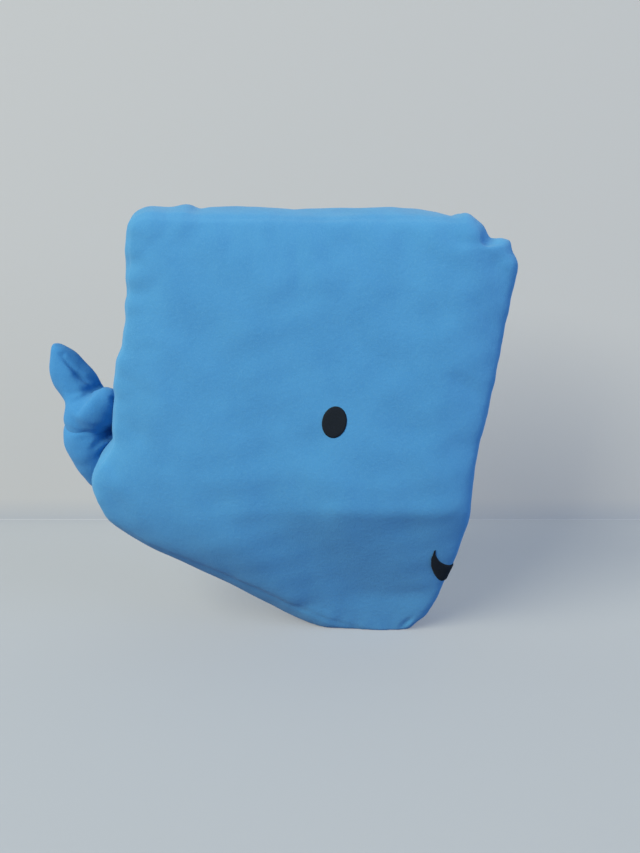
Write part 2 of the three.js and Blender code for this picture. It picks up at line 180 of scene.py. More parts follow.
def swell(points, size, seed, waves=24):
    """Smooth unevenness between about -1 and 1, with lumps of about the given size."""
    random = np.random.default_rng(seed)
    directions = random.normal(size=(waves, 3))
    directions /= np.linalg.norm(directions, axis=1)[:, None]
    lengths = size * random.uniform(0.7, 1.6, waves)
    phases = random.uniform(0, 2 * math.pi, waves)
    total = np.sin(points @ (directions * (2 * math.pi / lengths)[:, None]).T + phases)
    return total.sum(1) / math.sqrt(waves)


def side_distance(points, place):
    """Distance to the line that runs from side to side through a place (x, z)."""
    return np.linalg.norm(points[:, [0, 2]] - place, axis=1)


def line_distance(points, line):
    """Distance to a line of points, and how far along it the nearest place is, from 0 to 1."""
    line = np.asarray(line, float)
    steps = np.linalg.norm(np.diff(line, axis=0), axis=1)
    starts = np.concatenate([[0], np.cumsum(steps)])
    best = np.full(len(points), np.inf)
    along = np.zeros(len(points))
    for a, b, step, start in zip(line[:-1], line[1:], steps, starts):
        t = np.clip((points - a) @ (b - a) / step**2, 0, 1)
        distance = np.linalg.norm(points - (a + t[:, None] * (b - a)), axis=1)
        nearer = distance < best
        best[nearer] = distance[nearer]
        along[nearer] = ((start + t * step) / starts[-1])[nearer]
    return best, along


# The body's sizes, in millimetres before the shift along X. A pair is where a change begins and
# ends, along X for PLACES and up Z for HEIGHTS.
SHIFT = 38.771
LENGTH = 350
HEIGHT = 368
RIDGE_HEIGHT = 129
RIDGE_HALF_WIDTH = 80
RIDGE_SEAM = 60
TOP_SEAM = 46
BELLY_SEAM = 25
FRONT_SEAM_MORE = 5
FRONT_SEAM_PLACES = (60, 140)
FRONT_SEAM_HEIGHTS = (100, 160)
SIDE_CROWN = 27
FRONT_FLATNESS = 2.2
REAR_FLATNESS = 3
UPRIGHT_FLATNESS = 3
FULLNESS_POWER = 0.6
FOLD_SOFTNESS = 5
EDGE_SOFTNESS = 14
RUMP_GIRTH = 0.78
UPPER_DRAW = 0.1
LOWER_DRAW = 0.49
REAR_LOWER_DRAW = 0.05
DRAW_PLACES = (-110, 10)
TUCK_DEPTH = 2.5
TUCK_LENGTH = 10
TUCK_FADE = 80
CORNER_CROWN = 6
PRESS_DEPTH = 0.5
PRESS_SOFTNESS = 1.5
FRONT_ROW = 0.37
RUMP_ROW = 0.1
BODY_ROWS = 61
STRIP_COLUMNS = 15
OUTLINE_STEPS = 24

# Each edge of a side: its points as shares of length and height, its crown, roundness and skew
EDGES = {
    "belly": (
        [(-0.547, 0.355), (-0.521, 0.303), (-0.446, 0.253), (-0.322, 0.201),
         (-0.164, 0.12), (-0.05, 0.06), (0.06, 0.019), (0.18, 0.001)], 20, 2.4, 1.6),
    "forehead": (
        [(0.25, 0.008), (0.296, 0.1), (0.336, 0.21), (0.357, 0.29),
         (0.36, 0.37), (0.367, 0.47), (0.412, 0.68), (0.437, 0.83), (0.448, 0.89)], 5, 2, 1),
    "top": (
        [(0.43, 0.925), (0.38, 0.963), (0.33, 0.984), (0.2, 0.99),
         (-0.05, 0.991), (-0.36, 0.997), (-0.41, 0.999)], 11, 2, 1),
    "rump": (
        [(-0.437, 0.98), (-0.447, 0.92), (-0.46, 0.75), (-0.488, 0.65), (-0.496, 0.554),
         (-0.501, 0.492), (-0.523, 0.462), (-0.547, 0.43), (-0.557, 0.392)], 4, 2, 1),
}


def smooth_loop(points, steps):
    """A closed curve through the points, without its last point."""
    result = []
    count = len(points)
    for i in range(count):
        p0, p1, p2, p3 = (points[(i + k - 1) % count] for k in range(4))
        d0, d1, d2 = (math.sqrt(np.linalg.norm(b - a)) for a, b in ((p0, p1), (p1, p2), (p2, p3)))
        m1 = ((p1 - p0) / d0 - (p2 - p0) / (d0 + d1) + (p2 - p1) / d1) * d1
        m2 = ((p2 - p1) / d1 - (p3 - p1) / (d1 + d2) + (p3 - p2) / d2) * d1
        t = (np.arange(steps) / steps)[:, None]
        bend, twist = 3 * (p2 - p1) - 2 * m1 - m2, 2 * (p1 - p2) + m1 + m2
        result.append(p1 + m1 * t + bend * t**2 + twist * t**3)
    return np.concatenate(result)


outline_points = np.array([p for edge in EDGES.values() for p in edge[0]]) * (LENGTH, HEIGHT)
outline = smooth_loop(outline_points, OUTLINE_STEPS)
outline = np.vstack([outline, outline[:1]])
outline_lengths = np.concatenate([[0], np.cumsum(np.linalg.norm(np.diff(outline, axis=0), axis=1))])
reaches = {}
first = 0
for name, edge in EDGES.items():
    last = first + len(edge[0])
    reaches[name] = (outline_lengths[first * OUTLINE_STEPS], outline_lengths[last * OUTLINE_STEPS])
    first = last


def edge_place(name, t):
    """The place (x, z) on an edge at a share t of its length."""
    low, high = reaches[name]
    reach = low + (high - low) * np.asarray(t, float)
    return np.stack([np.interp(reach, outline_lengths, outline[:, k]) for k in range(2)], -1)


def girth(x):
    """How much of the full width there is. The body slims towards the rump."""
    return RUMP_GIRTH + (1 - RUMP_GIRTH) * ease(x / LENGTH, -0.5, 0.5)


def seam_half_width(x, z):
    """How far the seams round the side panels are from the middle."""
    below = BELLY_SEAM + (RIDGE_SEAM - BELLY_SEAM) * np.clip(z / RIDGE_HEIGHT, 0, 1)
    above = RIDGE_SEAM + (TOP_SEAM - RIDGE_SEAM) * ease(z, RIDGE_HEIGHT, HEIGHT)
    fuller = FRONT_SEAM_MORE * ease(x, *FRONT_SEAM_PLACES) * ease(z, *FRONT_SEAM_HEIGHTS)
    return girth(x) * np.where(z < RIDGE_HEIGHT, below, above) + fuller


def rump_row(v):
    """How far up the rump a row of the side starts that ends at v up the forehead."""
    low = v / FRONT_ROW * RUMP_ROW
    high = RUMP_ROW + (v - FRONT_ROW) / (1 - FRONT_ROW) * (1 - RUMP_ROW)
    return np.where(v < FRONT_ROW, low, high)


def pressed(z):
    """The height z of the cloth once its lowest part is pressed flat on the ground."""
    depth = PRESS_SOFTNESS + PRESS_DEPTH
    flat = depth * np.exp((np.minimum(z, PRESS_SOFTNESS) - PRESS_SOFTNESS) / depth) - PRESS_DEPTH
    return np.where(z >= PRESS_SOFTNESS, z, flat)


def side_point(u, v):
    """The right side: u from rump to forehead, v from belly to top."""
    u, v = np.broadcast_arrays(np.asarray(u, float), np.asarray(v, float))
    low, high = edge_place("belly", u), edge_place("top", 1 - u)
    back, front = edge_place("rump", 1 - rump_row(v)), edge_place("forehead", v)
    a, b = edge_place("belly", 0), edge_place("belly", 1)
    c, d = edge_place("top", 1), edge_place("top", 0)
    share_u, share_v = u[..., None], v[..., None]
    corners = (a + (b - a) * share_u) * (1 - share_v) + (c + (d - c) * share_u) * share_v
    place = low + (high - low) * share_v + back + (front - back) * share_u - corners
    x, z = place[..., 0], place[..., 1]
    seam = seam_half_width(x, z)
    flatness = np.where(u > 0.5, FRONT_FLATNESS, REAR_FLATNESS)
    full_along = 1 - np.abs(2 * u - 1) ** flatness
    full_up = 1 - np.abs(2 * v - 1) ** UPRIGHT_FLATNESS
    swollen = seam + girth(x) * SIDE_CROWN * (full_along * full_up) ** FULLNESS_POWER
    above = RIDGE_HALF_WIDTH - (z - RIDGE_HEIGHT) * UPPER_DRAW
    forward = ease(x, *DRAW_PLACES)
    depth = np.maximum(RIDGE_HEIGHT - z, 0)
    tuck = TUCK_DEPTH * (1 - np.exp(-depth / TUCK_LENGTH)) * bell(depth, TUCK_FADE)
    draw = REAR_LOWER_DRAW + (LOWER_DRAW - REAR_LOWER_DRAW) * forward
    below = RIDGE_HALF_WIDTH - (RIDGE_HEIGHT - z) * draw - tuck * forward
    folded = girth(x) * soft_minimum(above, below, FOLD_SOFTNESS)
    y = -np.maximum(soft_minimum(swollen, folded, EDGE_SOFTNESS), seam)
    return np.stack([x, y, pressed(z)], -1)


def strip_point(name, t, w):
    """A strip: t along its edge, w across it from the right seam (-1) to the left (1)."""
    t, w = np.broadcast_arrays(np.asarray(t, float), np.asarray(w, float))
    _, crown, roundness, skew = EDGES[name]
    low, high = reaches[name]
    place = edge_place(name, t)
    step = 0.5 / (high - low)
    ahead = edge_place(name, np.minimum(t + step, 1)) - edge_place(name, np.maximum(t - step, 0))
    ahead /= np.linalg.norm(ahead, axis=-1)[..., None]
    along = t**skew
    proud = CORNER_CROWN + (crown - CORNER_CROWN) * np.sqrt(np.maximum(4 * along * (1 - along), 0))
    proud = proud * (1 - np.abs(w) ** roundness)
    x = place[..., 0] + ahead[..., 1] * proud
    z = place[..., 1] - ahead[..., 0] * proud
    return np.stack([x, seam_half_width(place[..., 0], place[..., 1]) * w, pressed(z)], -1)


def grid_faces(rows, columns, start=0, flip=False):
    """The faces of a grid of points, numbered by rows from the start."""
    faces = []
    for i in range(rows - 1):
        for j in range(columns - 1):
            a = start + i * columns + j
            quad = (a, a + 1, a + columns + 1, a + columns)
            faces.append(quad[::-1] if flip else quad)
    return faces


def body_base():
    """The body's plain swollen form as one closed mesh."""
    even = np.linspace(0, 1, BODY_ROWS)
    wide = np.linspace(-1, 1, STRIP_COLUMNS)
    right = side_point(even[None, :], even[:, None])
    grids = [right, right * (1, -1, 1)]
    for name in EDGES:
        t = 1 - rump_row(1 - even) if name == "rump" else even
        grids.append(strip_point(name, t[:, None], wide[None, :]))
    # The strips and sides share the same borders
    belly, forehead, top, rump = grids[2:]
    forehead[0], top[0], rump[0], rump[-1] = belly[-1], forehead[-1], top[-1], belly[0]
    for side, column in ((grids[0], 0), (grids[1], -1)):
        side[0], side[-1] = belly[:, column], top[::-1, column]
        side[:, 0], side[:, -1] = rump[::-1, column], forehead[:, column]
    points, faces = [], []
    start = 0
    for index, grid in enumerate(grids):
        n, m = grid.shape[:2]
        faces += grid_faces(n, m, start, flip=index == 1)
        points.append(grid.reshape(-1, 3))
        start += n * m
    points = np.concatenate(points) + (SHIFT, 0, 0)
    obj = new_object("body_cover", points, faces)
    weld(obj, distance=0.05)
    return obj


def hold_group(obj, weights):
    """The name of a new point group with a weight for each point."""
    group = obj.vertex_groups.new(name="held")
    for index, weight in enumerate(weights):
        if weight > 0.01:
            group.add([index], float(weight), "REPLACE")
    return group.name


def stuff(obj, held, pressure, growth, share, limit, frames=20):
    """Blows the cover up as cloth that is cut larger by growth.

    Points stay put as far as they are held. Of each move a share is kept, up to the limit.
    """
    start = points_of(obj)
    modifier = obj.modifiers.new("cloth", "CLOTH")
    settings = modifier.settings
    settings.quality = 6
    settings.mass = 0.2
    settings.tension_stiffness = 15
    settings.compression_stiffness = 15
    settings.shear_stiffness = 5
    settings.bending_stiffness = 0.4
    settings.air_damping = 4
    settings.use_pressure = True
    settings.uniform_pressure_force = pressure
    settings.shrink_min = -growth
    settings.vertex_group_mass = hold_group(obj, held)
    settings.effector_weights.gravity = 0
    modifier.point_cache.frame_start = 1
    modifier.point_cache.frame_end = frames
    for number in range(1, frames + 1):
        scene.frame_set(number)
    apply_modifiers(obj)
    scene.frame_set(1)
    obj.vertex_groups.clear()
    move = points_of(obj) - start
    far = np.linalg.norm(move, axis=1)
    set_points(obj, start + move * (share * np.minimum(1, limit / np.maximum(far, 1e-6)))[:, None])


# How much the cloth gathers beside each edge's seam. The seam has as many points per edge as it has
# steps, and the share blends into the next edge's over some of them.
PUCKER_SHARES = {"belly": 0.25, "forehead": 0.25, "top": 0.6, "rump": 1}
SEAM_STEPS = 100
PUCKER_BLEND = 15


def seam_line(side):
    """The seam round the right (-1) or left (1) side panel."""
    t = np.linspace(0, 1, SEAM_STEPS, endpoint=False)
    line = np.concatenate([strip_point(name, t, side) for name in EDGES]) + (SHIFT, 0, 0)
    return np.vstack([line, line[:1]])


def seam_fields(points, line):
    """Each point's distance to the seam, and the length along it and the pucker at that place."""
    steps = np.linalg.norm(np.diff(line, axis=0), axis=1)
    lengths = np.concatenate([[0], np.cumsum(steps)])
    tree = KDTree(len(line))
    for i, p in enumerate(line):
        tree.insert(Vector(p), i)
    tree.balance()
    found = [tree.find(Vector(p)) for p in points]
    nearest = np.array([f[1] for f in found])
    shares = np.repeat([PUCKER_SHARES[name] for name in EDGES], SEAM_STEPS)
    blend = np.full(PUCKER_BLEND, 1 / PUCKER_BLEND)
    puckered = np.convolve(np.tile(shares, 3), blend, "same")[len(shares):2 * len(shares) + 1]
    return np.array([f[2] for f in found]), lengths[nearest], puckered[nearest]


# Body cover
BODY_VOXEL = 5
body = body_base()
base_tree = tree_of(body)
remesh(body, BODY_VOXEL)
relax(body, 2)
snap(body, base_tree)
seams = [seam_line(side) for side in (-1, 1)]

# The plain cloth low on the sides: where it begins by height, by place along X, by distance to a
# seam and by distance to the middle
PLAIN_HEIGHTS = (150, 120)
PLAIN_PLACES = (80, 20)
PLAIN_SEAM_DISTANCES = (8, 24)
PLAIN_SIDE = 25


def seam_distance(points):
    return np.minimum(*(seam_fields(points, seam)[0] for seam in seams))


def lower_side(points):
    """How far a point counts as part of the plain cloth low on the sides."""
    x, y, z = points.T
    low = ease(z, *PLAIN_HEIGHTS) * ease(x, *PLAIN_PLACES)
    return low * ease(seam_distance(points), *PLAIN_SEAM_DISTANCES) * (np.abs(y) > PLAIN_SIDE)


# What holds the cloth while it is blown up, and the share of its moves that is kept
SEAM_HOLD, SEAM_HOLD_WIDTH = 0.9, 6
BASE_HOLD, BASE_HEIGHT = 0.95, 1.5
UPPER_SHARE, SHARE_DROP = 0.7, 0.55
SHARE_HEIGHTS = (160, 120)

relax(body, rounds=40, where=lower_side)
points = points_of(body)
seam_hold = SEAM_HOLD * bell(seam_distance(points), SEAM_HOLD_WIDTH)
held = np.maximum(seam_hold, BASE_HOLD * (points[:, 2] < BASE_HEIGHT))
share = UPPER_SHARE - SHARE_DROP * ease(points[:, 2], *SHARE_HEIGHTS)
stuff(body, held, pressure=1.5, growth=0.008, share=share, limit=5)
relax(body, rounds=1, strength=0.4)
subdivide(body)

# The body's unevenness, each with its height, size and seed
SWELLS = ((0.9, 90, 3), (0.35, 34, 4))
SEAM_DEPTH, SEAM_WIDTH = 1.5, 3.2
PUCKER_DEPTH, PUCKER_WIDTH, PUCKER_LENGTH = 0.8, 15, 21
PUCKER_SEEDS = (11, 12)
# Waves along a seam that shift its puckers, each with its height and its length over 2 pi
DRIFTS = ((2.5, 47), (1.5, 29))
STRENGTH_LENGTH = 61
ON_THE_GROUND = 0.3


def pucker(obj):
    """Makes the cloth softly uneven, sinks its seams and gathers it beside them."""
    points = points_of(obj)
    offset = sum(height * swell(points, size, seed) for height, size, seed in SWELLS)
    for seam, seed in zip(seams, PUCKER_SEEDS):
        distance, along, puckered = seam_fields(points, seam)
        random = np.random.default_rng(seed)
        drift = sum(
            height * np.sin(along / length + random.uniform(0, 6)) for height, length in DRIFTS)
        change = np.sin(along / STRENGTH_LENGTH + random.uniform(0, 6))
        strength = puckered * (0.6 + 0.4 * change)
        wave = np.cos(2 * math.pi * along / PUCKER_LENGTH + drift)
        offset -= SEAM_DEPTH * (0.4 + 0.6 * puckered) * bell(distance, SEAM_WIDTH)
        offset += PUCKER_DEPTH * strength * wave * bell(distance, PUCKER_WIDTH)
    points += normals_of(obj) * offset[:, None]
    points[:, 2] = np.where(points[:, 2] < ON_THE_GROUND, 0.0, points[:, 2])
    set_points(obj, points)


pucker(body)
shade_smooth(body)


def dent(obj, centre, radius, push):
    """Pushes the cloth round a centre along a vector."""
    points = points_of(obj)
    share = bell(np.linalg.norm(points - centre, axis=1), radius)
    set_points(obj, points + share[:, None] * np.asarray(push, float))


FACES_THE_SIDE = 0.05
LEAST_TAPER = 0.02


def groove(obj, line, width, depth, side=-1):
    """Sinks a line of places (x, z) into one side of the cloth, less towards its ends."""
    points = points_of(obj)
    normals = normals_of(obj)
    distance, along = line_distance(points[:, [0, 2]], line)
    share = bell(distance, width) * (normals[:, 1] * side > FACES_THE_SIDE)
    share = share * np.sqrt(np.maximum(4 * along * (1 - along), LEAST_TAPER))
    set_points(obj, points - normals * (share * depth)[:, None])


# The ridge stands out a little where the cloth folds
RIDGE_LINE = [(-60, 124), (-10, 127), (60, 132), (110, 133), (150, 131), (168, 128)]
for side in (-1, 1):
    groove(body, RIDGE_LINE, width=8, depth=-0.8, side=side)


def pull(obj, place, radius, push, reach=None):
    """Moves the cloth near the line that runs from side to side through a place (x, z).

    With a reach, nothing moves before its first y, and the cloth moves fully past its second.
    """
    points = points_of(obj)
    share = bell(side_distance(points, place), radius)
    if reach:
        share *= ease(points[:, 1], *reach)
    set_points(obj, points + share[:, None] * np.array([push[0], 0, push[1]]))


# The uneven corners: bunched cloth and the notches beside it
NEAR_SIDE, FAR_SIDE = (20, -40), (-40, -12)
pull(body, (186, 353), 18, (-9, -20), FAR_SIDE)
pull(body, (150, 374), 13, (0, -4), FAR_SIDE)
pull(body, (172, 351), 6, (-3, -7))
pull(body, (177, 350), 6, (-1, -4))
pull(body, (189, 345), 4.5, (2, 2), NEAR_SIDE)
pull(body, (131, 371), 9, (0, -1.5))
pull(body, (145, 370), 6, (0, -1.5))
pull(body, (157, 368), 7, (0, 3))
groove(body, [(174, 345), (160, 345), (143, 347)], 4, 1.2)
pull(body, (-72, 376), 10, (0, 2.5))
pull(body, (-62, 376), 6, (0, -2))
pull(body, (170, 92), 14, (-1.8, 0))
pull(body, (137, 38), 10, (2, 0))
pull(body, (131, 4), 9, (-4, 2.5))
pull(body, (15, 4), 24, (0, 2.5))
pull(body, (94, 4), 22, (0, -5))
groove(body, [(112, 1), (117, 8), (122, 15)], 2.4, 1.8)
points = points_of(body)
points[:, 2] = np.maximum(points[:, 2], 0)
set_points(body, points)


# Tail
def smooth_row(keys, values, t):
    """A smooth curve through values at keys."""
    keys, values = np.asarray(keys, float), np.asarray(values, float)
    slopes = np.gradient(values, keys)
    index = np.clip(np.searchsorted(keys, t, side="right") - 1, 0, len(keys) - 2)
    width = keys[index + 1] - keys[index]
    s = (t - keys[index]) / width
    return (
        (2 * s**3 - 3 * s**2 + 1) * values[index]
        + (s**3 - 2 * s**2 + s) * width * slopes[index]
        + (3 * s**2 - 2 * s**3) * values[index + 1]
        + (s**3 - s**2) * width * slopes[index + 1]
    )


def curve(controls, count):
    """A cubic curve by its four control points, without its last point."""
    t = (np.arange(count) / count)[:, None]
    p0, p1, p2, p3 = np.asarray(controls, float)
    return (1 - t) ** 3 * p0 + 3 * (1 - t) ** 2 * t * p1 + 3 * (1 - t) * t**2 * p2 + t**3 * p3


# Sections as shares of half width and half depth, seen from above with the right side at the bottom
ROUND_TURNS = np.linspace(0, 2 * math.pi, 40, endpoint=False)
ROUND_SECTION = np.stack([np.cos(ROUND_TURNS), -np.sin(ROUND_TURNS)], -1)
SEAM_SHARE = (0.2, -1.08)
LEAF_SECTION = np.concatenate([
    curve([SEAM_SHARE, (-0.4, -1.2), (-1, -0.95), (-1, 0)], 18),
    curve([(-1, 0), (-1, 0.9), (0.1, 1.15), (0.7, 0.72)], 16),
    curve([(0.7, 0.72), (1.15, 0.4), (0.9, -0.2), SEAM_SHARE], 12),
])


def stuffed(rows, section, steps=44):
    """A closed form by rows from bottom to top.

    A row gives the left end (x, z), the right end (x, z), the middle y and the half depth.
    """
    columns = zip(*((*left, *right, middle, depth) for left, right, middle, depth in rows))
    keys = np.linspace(0, 1, len(rows))
    t = np.linspace(0, 1, steps)
    left_x, left_z, right_x, right_z, middle, depth = (
        smooth_row(keys, column, t) for column in columns)
    left = np.stack([left_x, middle, left_z], -1)
    right = np.stack([right_x, middle, right_z], -1)
    centre, half = (left + right) / 2, (right - left) / 2
    rings = centre[:, None] + half[:, None] * section[None, :, :1]
    rings[..., 1] += np.maximum(depth, 0)[:, None] * section[None, :, 1]
    count = len(section)
    points = np.concatenate([rings.reshape(-1, 3), centre[:1], centre[-1:]])
    faces = []
    for i in range(steps - 1):
        for j in range(count):
            a, b = i * count + j, i * count + (j + 1) % count
            faces.append((a, a + count, b + count, b))
    base, tip = steps * count, steps * count + 1
    top = (steps - 1) * count
    for j in range(count):
        faces.append((base, j, (j + 1) % count))
        faces.append((tip, top + (j + 1) % count, top + j))
    return points, faces


def joined_forms(name, forms, voxel, rounds):
    """Closed forms made into one cloth surface."""
    points, faces = [], []
    for form_points, form_faces in forms:
        start = len(points)
        points.extend(form_points)
        faces.extend(tuple(start + k for k in face) for face in form_faces)
    obj = new_object(name, points, faces)
    weld(obj)
    remesh(obj, voxel)
    relax(obj, rounds)
    return obj


# Stem: a stuffed stub out of the rump's low corner, rounded under the flukes
stem = joined_forms("tail_stem_cover", [stuffed([
    ((-163, 128), (-152, 132), 0, 5),
    ((-170.3, 131.2), (-150, 140), 0, 10),
    ((-175.2, 138.9), (-146, 155), 0, 16),
    ((-181, 147.7), (-143, 166.2), 0, 20),
    ((-187.6, 160.5), (-140.9, 174), 0, 23.5),
    ((-191.4, 171.5), (-138.6, 182), 0, 24.5),
    ((-191.5, 184), (-138, 189.5), 0, 24),
    ((-187, 195), (-143, 196), 0, 20),
    ((-178, 202), (-154, 201), 0, 8),
], ROUND_SECTION)], voxel=2, rounds=3)

# Flukes: a leaf with sharp sewn edges, and a short lobe twisted over the front of it
leaf_form = stuffed([
    ((-180, 179), (-160, 179), -2, 9),
    ((-187, 187), (-152, 183), -2, 18),
    ((-188.3, 195), (-148, 189), -2, 21),
    ((-186.8, 203), (-146.9, 198), -2, 21),
    ((-187.8, 210), (-150.3, 212.5), 0, 18),
    ((-192.4, 217), (-154.9, 223.6), 2, 14.5),
    ((-197.9, 225.9), (-158, 230.7), 2, 13),
    ((-200.3, 234.9), (-163.6, 239.1), 2, 12),
    ((-200, 245.5), (-170.9, 247.5), 2, 10),
    ((-199, 254.3), (-179.1, 255.8), 2, 7.5),
    ((-197.6, 259.5), (-188.3, 260.4), 2, 4.5),
    ((-196, 261.5), (-192, 261.5), 2, 2),
], LEAF_SECTION)
lobe_form = stuffed([
    ((-174, 181), (-146, 177.5), -5, 10),
    ((-178, 188), (-141, 184), -7, 16.5),
    ((-180, 196), (-138, 191), -9, 19.5),
    ((-180, 204), (-136.5, 199), -10, 21.5),
    ((-172.5, 212), (-136.5, 207), -11, 20),
    ((-163, 219), (-137, 215), -12, 14.5),
    ((-151, 225), (-141, 223), -12, 5),
], ROUND_SECTION)
flukes = joined_forms("fluke_cover", [leaf_form, lobe_form], voxel=1.6, rounds=2)
# The cloth of the two runs together softly where they cross
FLUKES_CROSS, CROSS_SOFTNESS = (-172, 205), 12
relax(
    flukes, rounds=8,
    where=lambda points: bell(side_distance(points, FLUKES_CROSS), CROSS_SOFTNESS))

# Gathered folds, each a line with its width and depth
for line, width, depth in (
    ([(-140, 186), (-148.4, 181.9), (-161.3, 171.1)], 2.8, 2.0),
    ([(-140, 184), (-144.8, 176.5), (-156.7, 161.1)], 3, 2.2),
    ([(-140, 187), (-158, 182), (-176, 180)], 3, 1.0),
):
    groove(stem, line, width, depth)
for line, width, depth in (
    ([(-190, 255.5), (-160.5, 222)], 1.6, 2.2),
    ([(-155.5, 227), (-159.2, 220.8), (-166.5, 212.1), (-172, 204)], 3, 2.6),
    ([(-157, 226), (-166, 222), (-180, 219)], 2.4, 1.3),
    ([(-158, 224), (-168, 217), (-178, 211)], 2.6, 1.0),
    ([(-158, 227), (-168, 230), (-178, 236)], 2.6, 0.9),
    ([(-141, 188), (-150, 192), (-160, 194)], 2.4, 0.9),
    ([(-140, 188), (-142, 196), (-143, 203)], 2.6, 0.9),
):
    groove(flukes, line, width, depth)
dent(flukes, (-157.8, -10, 226), 5, (0.5, 3.5, -1.5))
dent(flukes, (-185, -8, 253), 2.6, (-0.5, 2.2, 0))
dent(flukes, (-140.3, -20, 214.7), 3, (-1.5, 3, 0))
CREASE = [(-184, 192), (-176, 189), (-168, 187), (-158, 186), (-145, 185.5), (-130, 186)]
groove(stem, CREASE, 3, 1.5)
groove(flukes, CREASE, 2.5, 0.9)
for obj in (stem, flukes):
    # The crease is deepest beside the rump
    dent(obj, (-146.5, -20, 185), 6.5, (0, 24, 0))
    points = points_of(obj)
    set_points(obj, points + normals_of(obj) * (0.35 * swell(points, 16, 21))[:, None])
    shade_smooth(obj)


# Face
PATCH_LIFT = 0.25
PATCH_THICKNESS = 0.9
PATCH_SINK = 0.6
OUTSIDE = 300
EYE_X, EYE_Z = 11.5 + SHIFT, 205
EYE_HALF_WIDTH, EYE_HALF_HEIGHT = 9.9, 12.9
EYE_LEAN = math.radians(12)
body_tree = tree_of(body)


def patch_height(rim):
    """How high a patch stands over the cloth, from its middle (0) to its rolled rim (1)."""
    return PATCH_LIFT + PATCH_THICKNESS * max(1 - rim**8, 0) ** 0.5


def eye_place(a, b, side):
    """Where a place in the unit circle lies on the cloth of a side, and the cloth's normal."""
    across, up = a * EYE_HALF_WIDTH, b * EYE_HALF_HEIGHT
    x = EYE_X + across * math.cos(EYE_LEAN) + up * math.sin(EYE_LEAN)
    z = EYE_Z - across * math.sin(EYE_LEAN) + up * math.cos(EYE_LEAN)
    start, inward = Vector((x, side * OUTSIDE, z)), Vector((0, -side, 0))
    place, normal, _, _ = body_tree.ray_cast(start, inward)
    return np.array(place), np.array(normal)


def eye_patch(name, side, rings=14, rounds=56):
    """A thin oval patch with a rolled edge, on the right (-1) or left (1) side."""
    profile = [(k / rings, patch_height(k / rings)) for k in range(1, rings + 1)]
    profile.append((1.0, -PATCH_SINK))
    centre, normal = eye_place(0, 0, side)
    points = [centre + normal * patch_height(0)]
    for radius, height in profile:
        for k in range(rounds):
            turn = 2 * math.pi * k / rounds
            place, normal = eye_place(radius * math.cos(turn), radius * math.sin(turn), side)
            points.append(place + normal * height)
    points.append(centre - normal * PATCH_SINK)
    faces = [(0, 1 + k, 1 + (k + 1) % rounds) for k in range(rounds)]
    for i in range(len(profile) - 1):
        for k in range(rounds):
            a, b = 1 + i * rounds + k, 1 + i * rounds + (k + 1) % rounds
            faces.append((a, a + rounds, b + rounds, b))
    last = 1 + (len(profile) - 1) * rounds
    end = len(points) - 1
    faces += [(end, last + (k + 1) % rounds, last + k) for k in range(rounds)]
    obj = new_object(name, points, faces)
    weld(obj)
    shade_smooth(obj)
    return obj


eyes = [eye_patch("right_eye_patch", -1), eye_patch("left_eye_patch", 1)]

# Mouth: a band round the front edge whose ends widen and curl up to a point. Its heights go by the
# angle in degrees round an upright axis, from the middle to an end.
MOUTH_AXIS_X = 60
MOUTH_ANGLES = [0, 14, 22, 24.9, 28.2, 31.2, 34.1, 35.5, 36.1]
MOUTH_LOW = [55, 55, 55, 56.3, 62.2, 69.4, 77.8, 84.6, 90.5]
MOUTH_HIGH = [72.4, 72.4, 72.4, 72.9, 74.6, 78.2, 84, 88.3, 91.5]


def mouth_patch(columns=72, rows=10):
    """One patch from side to side, with its back one thickness behind its front."""
    points = []
    for i in range(columns + 1):
        angle_share = math.sin(math.pi / 2 * (2 * i / columns - 1))
        degrees = abs(angle_share) * MOUTH_ANGLES[-1]
        low, high = (
            smooth_row(MOUTH_ANGLES, heights, np.array([degrees]))[0]
            for heights in (MOUTH_LOW, MOUTH_HIGH))
        angle = math.copysign(math.radians(degrees), angle_share)
        outward = Vector((math.cos(angle), math.sin(angle), 0))
        for j in range(rows + 1):
            share = j / rows
            start = Vector((MOUTH_AXIS_X, 0, low + (high - low) * share))
            place, normal, _, _ = body_tree.ray_cast(start, outward)
            rim = max(abs(2 * share - 1), abs(angle_share) ** 3)
            points.append(np.array(place) + np.array(normal) * patch_height(rim))
    front = len(points)
    points += [point - np.array([PATCH_THICKNESS, 0, 0]) for point in points]
    faces = grid_faces(columns + 1, rows + 1)
    faces += grid_faces(columns + 1, rows + 1, front, flip=True)
    width = rows + 1
    rim_loop = [i * width for i in range(columns)] + [columns * width + j for j in range(rows)]
    rim_loop += [i * width + rows for i in range(columns, 0, -1)] + list(range(rows, 0, -1))
    for a, b in zip(rim_loop, rim_loop[1:] + rim_loop[:1]):
        faces.append((a, a + front, b + front, b))
    obj = new_object("mouth_patch", points, faces)
    weld(obj)
    shade_smooth(obj)
    return obj


mouth = mouth_patch()


# Materials
def node_material(name):
    made = bpy.data.materials.new(name)
    made.use_nodes = True
    return made, made.node_tree.nodes, made.node_tree.links


def linear(colour):
    return [((c / 255 + 0.055) / 1.055) ** 2.4 if c > 10 else c / 255 / 12.92 for c in colour] + [1]


def noise(nodes, links, coordinates, scale, detail, roughness=0.5):
    node = nodes.new("ShaderNodeTexNoise")
    node.inputs["Scale"].default_value = scale
    node.inputs["Detail"].default_value = detail
    node.inputs["Roughness"].default_value = roughness
    links.new(coordinates.outputs["Object"], node.inputs["Vector"])
    return node.outputs["Fac"]


def mixed(nodes, links, a, b, factor):
    """The colour between a (factor 0) and b (factor 1)."""
    node = nodes.new("ShaderNodeMix")
    node.data_type = "RGBA"
    for socket, value in ((node.inputs[6], a), (node.inputs[7], b), (node.inputs[0], factor)):
        if isinstance(value, bpy.types.NodeSocket):
            links.new(value, socket)
        else:
            socket.default_value = value
    return node.outputs[2]


